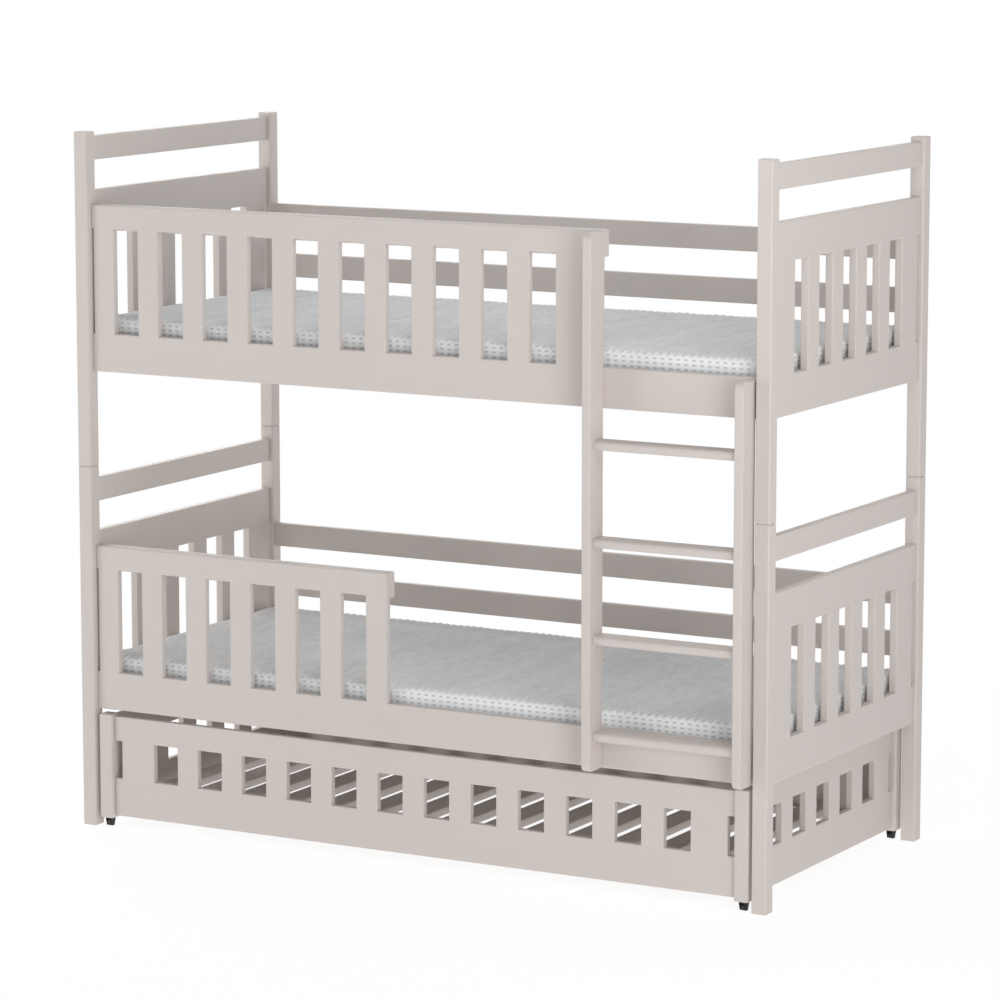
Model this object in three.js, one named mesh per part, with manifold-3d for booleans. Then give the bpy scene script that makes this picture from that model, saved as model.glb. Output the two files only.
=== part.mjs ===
// Bunk bed with a slide-out trundle: lacquered pine boards between square posts, a fixed ladder,
// slotted guards and ends, two mattresses, and a trundle on four small castors.
// Millimetres, +Z up, +X along the bed, +Y from the ladder side to the wall side.
// The origin is on the floor, under the middle of the whole bed with its ladder.

import * as THREE from "three";
import { mergeVertices } from "three/addons/utils/BufferGeometryUtils.js";
import Module from "manifold-3d";

const wasm = await Module();
wasm.setup();

// Overall sizes over the corner posts
const bed_length = 1880;
const bed_depth = 870;
const bed_height = 1720;

// Gaps: between pieces that touch, and past a face that a cut goes through
const fit_gap = 0.3;
const overrun = 5;

// Corner posts, in two lengths that stand on each other
const post_width = 37.5;
const post_edge_round = 4;
const post_end_round = 2;
const lower_post_height = 900;

// Dowel pins in the post joints
const dowel_radius = 6;
const dowel_length = 80;
const dowel_chamfer = 1.5;
const dowel_bore_clearance = 0.2;
const dowel_bore_spare = 1;

// What both bunks have alike, with heights above the bunk's own base
const bunk_step = 840;
const rail_bottom = 295;
const rail_height = 94;
const slot_height = 256;

// Front boards: side rail and guard cut from one board
const board_thickness = 18;
const board_inset = 16;
const board_edge_round = 2.5;
const guard_head = 57.5;
const guard_slot_width = 69.5;
const guard_slot_pitch = 128;
const guard_first_slot = 137;
const guard_slit = 5.8;
const guard_end_bar_least = 50;
const lower_guard_end = 870;

// Battens behind the top edge of the guards
const batten_height = 62;
const batten_thickness = 20;

// Slotted end panels and the rails above them
const end_thickness = 20;
const end_inset = 8;
const end_head = 92;
const end_slot_width = 71;
const end_slot_pitch = 130;
const end_slit = 13.4;
const end_bar_least = 55;
const end_rail_bottom = 809;
const end_rail_height = 59;

// Rear guard rails
const rear_rail_height = 61;
const rear_rail_low = 455.5;
const rear_rail_high = 584;

// Slats and the cleats that carry them
const slat_width = 65;
const slat_thickness = 18;
const slat_count = 15;
const slat_end_gap = 2;
const slat_row_set = 10;
const slat_edge_round = 2;
const cleat_height = 20;
const cleat_width = 20;
const cleat_bury = 1;

// Mattresses
const mattress_height = 94;
const mattress_end_gap = 6;
const mattress_side_gap = 2.5;
const mattress_corner = 34;
const mattress_edge = 9;
const mattress_crown = 3.5;
const mattress_draw = 3;
const edge_shares = [0, 0.3, 0.7, 1];
const crown_shares = [0.96, 0.88, 0.7, 0.4];
const crown_power = 4;

// Ladder
const stringer_thickness = 22.5;
const stringer_depth = 65;
const stringer_edge_round = 3;
const stringer_corner = 17;
const ladder_width = 409;
const ladder_to_post = 6.2;
const guard_lap = 15;
const left_stringer_drop = 2.5;
const right_stringer_drop = 5;
const tread_count = 4;
const tread_pitch = 226;
const tread_first_top = 387.5;
const tread_thickness = 21.5;
const tread_depth = 51.7;
const tread_nose = 8;
const tread_edge_round = 2;

// Trundle
const trundle_side_clearance = 10.5;
const trundle_front_set = 4.5;
const trundle_rear_set = 9.5;
const trundle_headroom = 11;
const trundle_post_width = 36.5;
const trundle_panel_set = 12;
const trundle_panel_lift = 5.5;
const trundle_panel_drop = 5;
const trundle_slot_sill = 95.5;
const trundle_slot_height = 94;
const trundle_slot_width = 69;
const trundle_slit = 22.5;
const trundle_bar_least = 58;
const trundle_cleat_lift = 10;

// Castors under the trundle posts
const castor_height = 22.5;
const castor_top_radius = 13.2;
const castor_foot_radius = 9.6;
const castor_floor_gap = 1.2;
const castor_stem_radius = 4;
const castor_stem_length = 25;
const castor_stem_clearance = 0.25;
const wheel_radius = 9;
const wheel_width = 11;
const wheel_edge_round = 1.6;
const wheel_clearance = 0.8;
const axle_radius = 2;
const axle_clearance = 0.25;
const axle_end_set = 0.6;

// Facet counts; an arc in a section gets twice its steps
const corner_steps = 2;
const rail_corner_steps = 1;
const face_round_steps = 2;
const end_round_steps = 1;
const round_steps = 20;
const axle_steps = 12;
const outline_corner_steps = 6;
const outline_long_steps = 12;
const outline_short_steps = 6;

// How much of a rail's edge round its two ends get
const end_round_share = 0.5;

// Colours and finishes
const lacquer = { color: 0xd3cac3, roughness: 0.46, metalness: 0 };
const thin_lacquer = { color: 0xcdc4bd, roughness: 0.6, metalness: 0 };
const beech = { color: 0xc9a77c, roughness: 0.6, metalness: 0 };
const ticking = { color: 0xd9dbde, roughness: 0.92, metalness: 0 };
const black_plastic = { color: 0x1b1a1a, roughness: 0.45, metalness: 0 };

// Sizes that follow from those above
const rail_top = rail_bottom + rail_height;
const slot_top = rail_top + slot_height;
const guard_top = slot_top + guard_head;
const end_panel_top = slot_top + end_head;
const inner_left = post_width;
const inner_right = bed_length - post_width;
const inner_front = post_width;
const inner_rear = bed_depth - post_width;
const board_back = board_inset + board_thickness;
const rear_board_front = bed_depth - board_back;
const panel_face = end_inset + end_thickness;
const ladder_right = inner_right - ladder_to_post;
const ladder_left = ladder_right - ladder_width;
const stringer_back = board_inset - fit_gap;
const ladder_front = stringer_back - stringer_depth;
const upper_guard_end = ladder_left + guard_lap;

// A closed geometry as a solid that can be cut and joined
function solidOf(geometry) {
  const bare = geometry.clone();
  bare.deleteAttribute("normal");
  bare.deleteAttribute("uv");
  const merged = mergeVertices(bare);
  const vertProperties = new Float32Array(merged.attributes.position.array);
  const triVerts = new Uint32Array(merged.index.array);
  return new wasm.Manifold(new wasm.Mesh({ numProp: 3, vertProperties, triVerts }));
}

// A solid back as a geometry
function geometryOf(solid) {
  const mesh = solid.getMesh();
  const geometry = new THREE.BufferGeometry();
  geometry.setAttribute("position", new THREE.BufferAttribute(mesh.vertProperties, 3));
  geometry.setIndex(new THREE.BufferAttribute(mesh.triVerts, 1));
  geometry.computeVertexNormals();
  return geometry;
}

// A named piece with its finish
function piece(name, geometry, finish, x, y, z) {
  const mesh = new THREE.Mesh(geometry, new THREE.MeshStandardMaterial(finish));
  mesh.name = name;
  mesh.position.set(x, y, z);
  return mesh;
}

// A rectangle with rounded corners, its low corner at the origin
function roundedRect(width, height, radius) {
  const shape = new THREE.Shape();
  shape.moveTo(radius, 0);
  shape.lineTo(width - radius, 0);
  shape.absarc(width - radius, radius, radius, -Math.PI / 2, 0, false);
  shape.lineTo(width, height - radius);
  shape.absarc(width - radius, height - radius, radius, 0, Math.PI / 2, false);
  shape.lineTo(radius, height);
  shape.absarc(radius, height - radius, radius, Math.PI / 2, Math.PI, false);
  shape.lineTo(0, radius);
  shape.absarc(radius, radius, radius, Math.PI, Math.PI * 3 / 2, false);
  return shape;
}

// A plain rectangle between two corners
function rectangle(low_x, low_y, high_x, high_y) {
  const shape = new THREE.Shape();
  shape.moveTo(low_x, low_y);
  shape.lineTo(high_x, low_y);
  shape.lineTo(high_x, high_y);
  shape.lineTo(low_x, high_y);
  return shape;
}

// A closed skin over rings of points that climb, each ring counter-clockwise seen from above
function skinOverRings(rings, low_centre, high_centre) {
  const count = rings[0].length;
  const points = [low_centre, ...rings.flat(), high_centre];
  const at = (ring, k) => 1 + ring * count + (k % count);
  const top = points.length - 1;
  const index = [];
  for (let k = 0; k < count; k += 1) {
    index.push(0, at(0, k + 1), at(0, k));
    index.push(top, at(rings.length - 1, k), at(rings.length - 1, k + 1));
    for (let ring = 0; ring + 1 < rings.length; ring += 1) {
      index.push(at(ring, k), at(ring, k + 1), at(ring + 1, k + 1));
      index.push(at(ring, k), at(ring + 1, k + 1), at(ring + 1, k));
    }
  }
  const geometry = new THREE.BufferGeometry().setFromPoints(points);
  geometry.setIndex(index);
  geometry.computeVertexNormals();
  return geometry;
}

// A shape as a slab of the given thickness, its edges rounded within its outline
function slab(shape, thickness, round, face_steps, curve_steps) {
  const geometry = new THREE.ExtrudeGeometry(shape, {
    depth: thickness - 2 * round,
    bevelEnabled: true,
    bevelSize: round,
    bevelThickness: round,
    bevelOffset: -round,
    bevelSegments: face_steps,
    curveSegments: curve_steps,
  });
  geometry.translate(0, 0, round);
  return geometry;
}

// What a slot takes out of a slab: a block that flares at both faces, so the slot's edges come out round
function slotCutter(slot, thickness, round) {
  const levels = [{ z: -overrun, grow: round }];
  for (let k = 0; k <= face_round_steps; k += 1) {
    const angle = (k / face_round_steps) * Math.PI / 2;
    levels.push({ z: round * (1 - Math.cos(angle)), grow: round * (1 - Math.sin(angle)) });
  }
  const far_levels = levels.map(({ z, grow }) => ({ z: thickness - z, grow })).reverse();
  const rings = [...levels, ...far_levels].map(({ z, grow }) => [
    new THREE.Vector3(slot.low_x - grow, slot.low_y - grow, z),
    new THREE.Vector3(slot.high_x + grow, slot.low_y - grow, z),
    new THREE.Vector3(slot.high_x + grow, slot.high_y + grow, z),
    new THREE.Vector3(slot.low_x - grow, slot.high_y + grow, z),
  ]);
  const middle_x = (slot.low_x + slot.high_x) / 2;
  const middle_y = (slot.low_y + slot.high_y) / 2;
  const low_centre = new THREE.Vector3(middle_x, middle_y, -overrun);
  const high_centre = new THREE.Vector3(middle_x, middle_y, thickness + overrun);
  return skinOverRings(rings, low_centre, high_centre);
}

// A slab with slots through it
function slottedSlab(outline, slots, thickness, round) {
  let body = solidOf(slab(outline, thickness, round, face_round_steps, corner_steps));
  for (const slot of slots) {
    body = body.subtract(solidOf(slotCutter(slot, thickness, round)));
  }
  return geometryOf(body);
}

// A square post with rounded edges and ends, standing on its low corner
function postGeometry(width, height) {
  const section = roundedRect(width, width, post_edge_round);
  return slab(section, height, post_end_round, end_round_steps, corner_steps);
}

// A straight rail along X, its section rounded on all four long edges
function railGeometry(length, thickness, height, round) {
  const section = roundedRect(thickness, height, round);
  return standAlongY(slab(section, length, round * end_round_share, end_round_steps, rail_corner_steps));
}

// The same rail along Y
function crossRailGeometry(length, thickness, height, round) {
  const geometry = railGeometry(length, thickness, height, round);
  geometry.rotateZ(Math.PI / 2);
  return geometry.translate(thickness, 0, 0);
}

// A slab stood up along X: its outline in X and Z, its front face at Y zero
function standAlongX(geometry, thickness) {
  geometry.rotateX(Math.PI / 2);
  return geometry.translate(0, thickness, 0);
}

// A slab stood up along Y, or a section drawn out along X: its outline in Y and Z, from X zero
function standAlongY(geometry) {
  const turn = new THREE.Matrix4().makeBasis(
    new THREE.Vector3(0, 1, 0), new THREE.Vector3(0, 0, 1), new THREE.Vector3(1, 0, 0));
  return geometry.applyMatrix4(turn);
}

// A cylinder standing on the origin
function cylinder(foot_radius, head_radius, height, steps) {
  const geometry = new THREE.CylinderGeometry(head_radius, foot_radius, height, steps);
  geometry.rotateX(Math.PI / 2);
  return geometry.translate(0, 0, height / 2);
}

// Corner posts, bored for the dowel pins of the joint between them
function dowelBore(x, y, z) {
  const bore_radius = dowel_radius + dowel_bore_clearance;
  const bore_length = dowel_length + 2 * dowel_bore_spare;
  const bore = cylinder(bore_radius, bore_radius, bore_length, axle_steps);
  return bore.translate(x, y, z - bore_length / 2);
}

function boredPost(height, bore_z) {
  const bore = dowelBore(post_width / 2, post_width / 2, bore_z);
  const body = solidOf(postGeometry(post_width, height));
  return geometryOf(body.subtract(solidOf(bore)));
}

function dowelGeometry() {
  const half = dowel_length / 2;
  const profile = [
    new THREE.Vector2(0, -half),
    new THREE.Vector2(dowel_radius - dowel_chamfer, -half),
    new THREE.Vector2(dowel_radius, -half + dowel_chamfer),
    new THREE.Vector2(dowel_radius, half - dowel_chamfer),
    new THREE.Vector2(dowel_radius - dowel_chamfer, half),
    new THREE.Vector2(0, half),
  ];
  const geometry = new THREE.LatheGeometry(profile, axle_steps);
  return geometry.rotateX(Math.PI / 2);
}

const corners = [
  { name: "front_left", x: 0, y: 0 },
  { name: "front_right", x: bed_length - post_width, y: 0 },
  { name: "rear_left", x: 0, y: bed_depth - post_width },
  { name: "rear_right", x: bed_length - post_width, y: bed_depth - post_width },
];

function makePosts() {
  const group = new THREE.Group();
  const upper_foot = lower_post_height + fit_gap;
  const upper_height = bed_height - upper_foot;
  for (const corner of corners) {
    const { name, x, y } = corner;
    const middle_x = x + post_width / 2;
    const middle_y = y + post_width / 2;
    const low = boredPost(lower_post_height, lower_post_height);
    const high = boredPost(upper_height, 0);
    group.add(piece(`lower_post_${name}`, low, lacquer, x, y, 0));
    group.add(piece(`upper_post_${name}`, high, lacquer, x, y, upper_foot));
    group.add(piece(`post_dowel_${name}`, dowelGeometry(), beech, middle_x, middle_y, lower_post_height));
  }
  return group;
}

// Centres of as many slots as fit from the first one, with a bar left at the end
function guardSlots(guard_end) {
  const last = guard_end - guard_end_bar_least - guard_slot_width / 2;
  const count = Math.floor((last - guard_first_slot) / guard_slot_pitch) + 1;
  const centres = [];
  for (let k = 0; k < count; k += 1) {
    centres.push(guard_first_slot + k * guard_slot_pitch);
  }
  return centres;
}

// Centres of slots about the middle of a panel
function middleSlots(middle, length, slit, bar_least, pitch) {
  const count = Math.floor((length - 2 * (slit + bar_least)) / pitch);
  const centres = [];
  for (let k = 0; k < count; k += 1) {
    centres.push(middle + (k - (count - 1) / 2) * pitch);
  }
  return centres;
}

// Side rail and guard in one board: the guard stops short, and the rail runs on to the far post
function frontBoard(guard_end) {
  const low = inner_left + fit_gap;
  const high = inner_right - fit_gap;
  const outline = new THREE.Shape();
  outline.moveTo(low, rail_bottom);
  outline.lineTo(high, rail_bottom);
  outline.lineTo(high, rail_top);
  outline.lineTo(guard_end, rail_top);
  outline.lineTo(guard_end, guard_top);
  outline.lineTo(low, guard_top);
  const half = guard_slot_width / 2;
  const slots = guardSlots(guard_end).map((centre) => (
    { low_x: centre - half, high_x: centre + half, low_y: rail_top, high_y: slot_top }
  ));
  slots.push({ low_x: low - overrun, high_x: inner_left + guard_slit, low_y: rail_top, high_y: slot_top });
  return standAlongX(slottedSlab(outline, slots, board_thickness, board_edge_round), board_thickness);
}

// Slots of one height on a panel: full ones about the centres given, and a slit at each end
function panelSlots(low, high, slit, slot_low, slot_high, width, centres) {
  const half = width / 2;
  const slots = centres.map((centre) => (
    { low_x: centre - half, high_x: centre + half, low_y: slot_low, high_y: slot_high }
  ));
  slots.push({ low_x: low - overrun, high_x: low + slit, low_y: slot_low, high_y: slot_high });
  slots.push({ low_x: high - slit, high_x: high + overrun, low_y: slot_low, high_y: slot_high });
  return slots;
}

const end_low = inner_front + fit_gap;
const end_high = inner_rear - fit_gap;
const end_centres = middleSlots(bed_depth / 2, end_high - end_low, end_slit, end_bar_least, end_slot_pitch);

function endPanel() {
  const slit = end_slit - fit_gap;
  const slots = panelSlots(end_low, end_high, slit, rail_top, slot_top, end_slot_width, end_centres);
  const outline = rectangle(end_low, rail_bottom, end_high, end_panel_top);
  return standAlongY(slottedSlab(outline, slots, end_thickness, board_edge_round));
}

// A slat lying along Y, its long edges chamfered and its ends sawn square
function slatGeometry(length) {
  const height = slat_thickness + cleat_bury;
  const section = new THREE.Shape();
  section.moveTo(0, 0);
  section.lineTo(slat_width, 0);
  section.lineTo(slat_width, height - slat_edge_round);
  section.lineTo(slat_width - slat_edge_round, height);
  section.lineTo(slat_edge_round, height);
  section.lineTo(0, height - slat_edge_round);
  const geometry = new THREE.ExtrudeGeometry(section, { depth: length, bevelEnabled: false });
  return standAlongX(geometry, length);
}

// Two cleats with slats across them, joined where the slats are screwed down
function slatBase(length, depth) {
  const pitch = (length - 2 * slat_row_set - slat_width) / (slat_count - 1);
  const near_cleat = new THREE.BoxGeometry(length, cleat_width, cleat_height);
  near_cleat.translate(length / 2, cleat_width / 2, cleat_height / 2);
  const far_cleat = near_cleat.clone().translate(0, depth - cleat_width, 0);
  let base = solidOf(near_cleat).add(solidOf(far_cleat));
  for (let k = 0; k < slat_count; k += 1) {
    const slat = slatGeometry(depth - 2 * slat_end_gap);
    slat.translate(slat_row_set + k * pitch, slat_end_gap, cleat_height - cleat_bury);
    base = base.add(solidOf(slat));
  }
  return geometryOf(base);
}

// Outline of a mattress at full size, as points round a rectangle with rounded corners
function mattressOutline(length, depth) {
  const points = [];
  const half_x = length / 2 - mattress_corner;
  const half_y = depth / 2 - mattress_corner;
  const quarters = [
    { x: half_x, y: -half_y, run_x: 0, run_y: 2 * half_y, steps: outline_short_steps },
    { x: half_x, y: half_y, run_x: -2 * half_x, run_y: 0, steps: outline_long_steps },
    { x: -half_x, y: half_y, run_x: 0, run_y: -2 * half_y, steps: outline_short_steps },
    { x: -half_x, y: -half_y, run_x: 2 * half_x, run_y: 0, steps: outline_long_steps },
  ];
  quarters.forEach((quarter, turn) => {
    for (let k = 0; k <= outline_corner_steps; k += 1) {
      const angle = (turn - 1 + k / outline_corner_steps) * Math.PI / 2;
      const x = quarter.x + mattress_corner * Math.cos(angle);
      const y = quarter.y + mattress_corner * Math.sin(angle);
      points.push(new THREE.Vector2(x, y));
    }
    const from = points[points.length - 1];
    for (let k = 1; k < quarter.steps; k += 1) {
      const share = k / quarter.steps;
      points.push(new THREE.Vector2(from.x + quarter.run_x * share, from.y + quarter.run_y * share));
    }
  });
  return points;
}

// A mattress: flat below, sides drawn in between the seams, rounded edges and a crowned top
function mattressGeometry(length, depth) {
  const outline = mattressOutline(length, depth);
  const seam = mattress_height - mattress_crown;
  const levels = edge_shares.map((share) => ({
    z: mattress_edge * (1 - Math.cos(share * Math.PI / 2)),
    inset: mattress_edge * (1 - Math.sin(share * Math.PI / 2)),
    shrink: 1,
  }));
  const upper_levels = levels.map((level) => ({ ...level, z: seam - level.z })).reverse();
  levels.push({ z: seam / 2, inset: mattress_draw, shrink: 1 }, ...upper_levels);
  for (const shrink of crown_shares) {
    levels.push({ z: seam + mattress_crown * (1 - shrink ** crown_power), inset: mattress_edge, shrink });
  }
  const rings = levels.map(({ z, inset, shrink }) => outline.map((point) => {
    const x = point.x * (1 - 2 * inset / length) * shrink;
    const y = point.y * (1 - 2 * inset / depth) * shrink;
    return new THREE.Vector3(x, y, z);
  }));
  return skinOverRings(rings, new THREE.Vector3(), new THREE.Vector3(0, 0, mattress_height));
}

// One bunk: front board, batten, ends, rear rails, slats and mattress
function makeBunk(name, guard_end) {
  const group = new THREE.Group();
  const clear_left = inner_left + fit_gap;
  const clear_length = inner_right - fit_gap - clear_left;
  group.add(piece(`${name}_front_board`, frontBoard(guard_end), lacquer, 0, board_inset, 0));

  const batten_length = guard_end - clear_left;
  const batten = railGeometry(batten_length, batten_thickness, batten_height, board_edge_round);
  const batten_y = board_back + fit_gap;
  group.add(piece(`${name}_guard_batten`, batten, lacquer, clear_left, batten_y, guard_top - batten_height));

  const end_rail_length = inner_rear - inner_front - 2 * fit_gap;
  const far_x = bed_length - panel_face;
  for (const [side, x] of [["left", end_inset], ["right", far_x]]) {
    const rail = crossRailGeometry(end_rail_length, end_thickness, end_rail_height, board_edge_round);
    group.add(piece(`${name}_end_panel_${side}`, endPanel(), lacquer, x, 0, 0));
    group.add(piece(`${name}_end_rail_${side}`, rail, lacquer, x, inner_front + fit_gap, end_rail_bottom));
  }

  const rear_rails = [
    ["rear_side_rail", rail_bottom, rail_height],
    ["rear_guard_low", rear_rail_low, rear_rail_height],
    ["rear_guard_high", rear_rail_high, rear_rail_height],
  ];
  for (const [rail_name, z, height] of rear_rails) {
    const rail = railGeometry(clear_length, board_thickness, height, board_edge_round);
    group.add(piece(`${name}_${rail_name}`, rail, lacquer, clear_left, rear_board_front, z));
  }

  const base_y = board_back + fit_gap;
  const base_depth = rear_board_front - fit_gap - base_y;
  const base = slatBase(clear_length, base_depth);
  group.add(piece(`${name}_slat_base`, base, thin_lacquer, clear_left, base_y, rail_bottom));

  const length = bed_length - 2 * (panel_face + mattress_end_gap);
  const depth = rear_board_front - board_back - 2 * mattress_side_gap;
  const mattress = mattressGeometry(length, depth);
  const mattress_foot = rail_bottom + cleat_height + slat_thickness + fit_gap;
  const middle_y = (board_back + rear_board_front) / 2;
  group.add(piece(`${name}_mattress`, mattress, ticking, bed_length / 2, middle_y, mattress_foot));
  return group;
}

// A ladder stringer: a plank on edge with its front corners and its foot rounded
function stringerGeometry(height) {
  const shape = new THREE.Shape();
  const deep = stringer_depth;
  const corner = stringer_corner;
  shape.moveTo(corner, 0);
  shape.lineTo(deep - corner, 0);
  shape.absarc(deep - corner, corner, corner, -Math.PI / 2, 0, false);
  shape.lineTo(deep, height);
  shape.lineTo(corner, height);
  shape.absarc(corner, height - corner, corner, Math.PI / 2, Math.PI, false);
  shape.lineTo(0, corner);
  shape.absarc(corner, corner, corner, Math.PI, Math.PI * 3 / 2, false);
  return standAlongY(slab(shape, stringer_thickness, stringer_edge_round, face_round_steps, corner_steps));
}

// A ladder tread: its front edge is a deep round, its back edge nearly square
function treadGeometry(length) {
  const shape = new THREE.Shape();
  const nose = tread_nose;
  const round = tread_edge_round;
  shape.moveTo(nose, 0);
  shape.lineTo(tread_depth - round, 0);
  shape.absarc(tread_depth - round, round, round, -Math.PI / 2, 0, false);
  shape.lineTo(tread_depth, tread_thickness - round);
  shape.absarc(tread_depth - round, tread_thickness - round, round, 0, Math.PI / 2, false);
  shape.lineTo(nose, tread_thickness);
  shape.absarc(nose, tread_thickness - nose, nose, Math.PI / 2, Math.PI, false);
  shape.lineTo(0, nose);
  shape.absarc(nose, nose, nose, Math.PI, Math.PI * 3 / 2, false);
  return standAlongY(slab(shape, length, round * end_round_share, end_round_steps, corner_steps));
}

function makeLadder() {
  const group = new THREE.Group();
  const left_top = bunk_step + guard_top - left_stringer_drop;
  const right_top = bunk_step + rail_top - right_stringer_drop;
  const left = stringerGeometry(left_top - rail_bottom);
  const right = stringerGeometry(right_top - rail_bottom);
  const right_x = ladder_right - stringer_thickness;
  group.add(piece("ladder_stringer_left", left, lacquer, ladder_left, ladder_front, rail_bottom));
  group.add(piece("ladder_stringer_right", right, lacquer, right_x, ladder_front, rail_bottom));
  const tread_x = ladder_left + stringer_thickness + fit_gap;
  const tread_length = right_x - fit_gap - tread_x;
  const tread_y = stringer_back - tread_depth;
  for (let k = 0; k < tread_count; k += 1) {
    const z = tread_first_top - tread_thickness + k * tread_pitch;
    group.add(piece(`ladder_tread_${k + 1}`, treadGeometry(tread_length), lacquer, tread_x, tread_y, z));
  }
  return group;
}

// Castor housing: a tapered pot with a slot for the wheel, axle holes and a stem
function castorHousing() {
  const pot_height = castor_height - fit_gap - castor_floor_gap;
  const pot = cylinder(castor_foot_radius, castor_top_radius, pot_height, round_steps);
  pot.translate(0, 0, castor_floor_gap);
  const stem = cylinder(castor_stem_radius, castor_stem_radius, castor_stem_length + overrun, axle_steps);
  stem.translate(0, 0, castor_height - fit_gap - overrun);
  const slot_width = wheel_width + 2 * wheel_clearance;
  const slot_head = 2 * wheel_radius + wheel_clearance;
  const slot = new THREE.BoxGeometry(slot_width, 2 * castor_top_radius + overrun, slot_head + overrun);
  slot.translate(0, 0, (slot_head - overrun) / 2);
  const hole_radius = axle_radius + axle_clearance;
  const hole_length = 2 * castor_top_radius + overrun;
  const hole = cylinder(hole_radius, hole_radius, hole_length, axle_steps);
  hole.rotateY(Math.PI / 2);
  hole.translate(-hole_length / 2, 0, wheel_radius);
  return geometryOf(solidOf(pot).add(solidOf(stem)).subtract(solidOf(slot)).subtract(solidOf(hole)));
}

// Wheel with its axle, turned about X, centred on the axle
function castorWheel() {
  const pot_height = castor_height - fit_gap - castor_floor_gap;
  const rise_share = (wheel_radius - castor_floor_gap) / pot_height;
  const pot_radius = castor_foot_radius + (castor_top_radius - castor_foot_radius) * rise_share;
  const reach = pot_radius - axle_end_set;
  const half = wheel_width / 2;
  const round = wheel_edge_round;
  const profile = [
    new THREE.Vector2(0, -reach),
    new THREE.Vector2(axle_radius, -reach),
    new THREE.Vector2(axle_radius, -half),
    new THREE.Vector2(wheel_radius - round, -half),
    new THREE.Vector2(wheel_radius, -half + round),
    new THREE.Vector2(wheel_radius, half - round),
    new THREE.Vector2(wheel_radius - round, half),
    new THREE.Vector2(axle_radius, half),
    new THREE.Vector2(axle_radius, reach),
    new THREE.Vector2(0, reach),
  ];
  const geometry = new THREE.LatheGeometry(profile, round_steps);
  return geometry.rotateZ(-Math.PI / 2);
}

// Trundle post, bored from below for the castor's stem
function trundlePost(height) {
  const bore_radius = castor_stem_radius + castor_stem_clearance;
  const bore = cylinder(bore_radius, bore_radius, castor_stem_length + overrun, axle_steps);
  bore.translate(trundle_post_width / 2, trundle_post_width / 2, -overrun);
  const body = solidOf(postGeometry(trundle_post_width, height));
  return geometryOf(body.subtract(solidOf(bore)));
}

function makeTrundle() {
  const group = new THREE.Group();
  const left = inner_left + trundle_side_clearance;
  const right = inner_right - trundle_side_clearance;
  const front = trundle_front_set;
  const rear = bed_depth - trundle_rear_set;
  const post_top = rail_bottom - trundle_headroom;
  const post_height = post_top - castor_height;
  const wide = trundle_post_width;
  const posts = [
    ["front_left", left, front],
    ["front_right", right - wide, front],
    ["rear_left", left, rear - wide],
    ["rear_right", right - wide, rear - wide],
  ];
  for (const [name, x, y] of posts) {
    const middle_x = x + wide / 2;
    const middle_y = y + wide / 2;
    group.add(piece(`trundle_post_${name}`, trundlePost(post_height), lacquer, x, y, castor_height));
    group.add(piece(`castor_housing_${name}`, castorHousing(), black_plastic, middle_x, middle_y, 0));
    group.add(piece(`castor_wheel_${name}`, castorWheel(), black_plastic, middle_x, middle_y, wheel_radius));
  }

  const panel_low = castor_height + trundle_panel_lift;
  const panel_high = post_top - trundle_panel_drop;
  const slot_low = panel_low + trundle_slot_sill;
  const slot_high = slot_low + trundle_slot_height;
  const panel_left = left + wide + fit_gap;
  const panel_right = right - wide - fit_gap;
  const panel_length = panel_right - panel_left;
  const middle_x = (left + right) / 2;
  const slit = trundle_slit - fit_gap;
  const centres = middleSlots(middle_x, panel_length, trundle_slit, trundle_bar_least, guard_slot_pitch);
  const front_slots = panelSlots(panel_left, panel_right, slit, slot_low, slot_high, trundle_slot_width, centres);
  const front_outline = rectangle(panel_left, panel_low, panel_right, panel_high);
  const front_slab = slottedSlab(front_outline, front_slots, board_thickness, board_edge_round);
  const front_y = front + trundle_panel_set;
  group.add(piece("trundle_front_panel", standAlongX(front_slab, board_thickness), lacquer, 0, front_y, 0));

  const rear_panel = railGeometry(panel_length, board_thickness, panel_high - panel_low, board_edge_round);
  const rear_y = rear - trundle_panel_set - board_thickness;
  group.add(piece("trundle_rear_panel", rear_panel, lacquer, panel_left, rear_y, panel_low));

  const side_front = front + wide + fit_gap;
  const side_rear = rear - wide - fit_gap;
  const shift = (front + rear) / 2 - bed_depth / 2;
  const side_slots = panelSlots(
    side_front, side_rear, end_slit - fit_gap, slot_low, slot_high, end_slot_width,
    end_centres.map((centre) => centre + shift));
  const far_x = right - trundle_panel_set - board_thickness;
  for (const [side, x] of [["left", left + trundle_panel_set], ["right", far_x]]) {
    const outline = rectangle(side_front, panel_low, side_rear, panel_high);
    const panel = standAlongY(slottedSlab(outline, side_slots, board_thickness, board_edge_round));
    group.add(piece(`trundle_side_panel_${side}`, panel, lacquer, x, 0, 0));
  }

  const base_x = left + wide + fit_gap;
  const base_y = front_y + board_thickness + fit_gap;
  const base_depth = rear_y - fit_gap - base_y;
  const base = slatBase(panel_length, base_depth);
  group.add(piece("trundle_slat_base", base, thin_lacquer, base_x, base_y, panel_low + trundle_cleat_lift));
  return group;
}

// The whole bed, with the origin moved under its middle
const group = new THREE.Group();
const upper_bunk = makeBunk("upper", upper_guard_end);
upper_bunk.position.z = bunk_step;
group.add(makePosts(), makeBunk("lower", lower_guard_end), upper_bunk, makeLadder(), makeTrundle());
group.position.set(-bed_length / 2, -(bed_depth + ladder_front) / 2, 0);

export default group;
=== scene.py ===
"""Looks of a bunk bed with a trundle: lacquered pine, two mattresses in dimpled covers, castors, and a pale studio."""

import logging
import math
from dataclasses import dataclass
from enum import Enum

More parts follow.
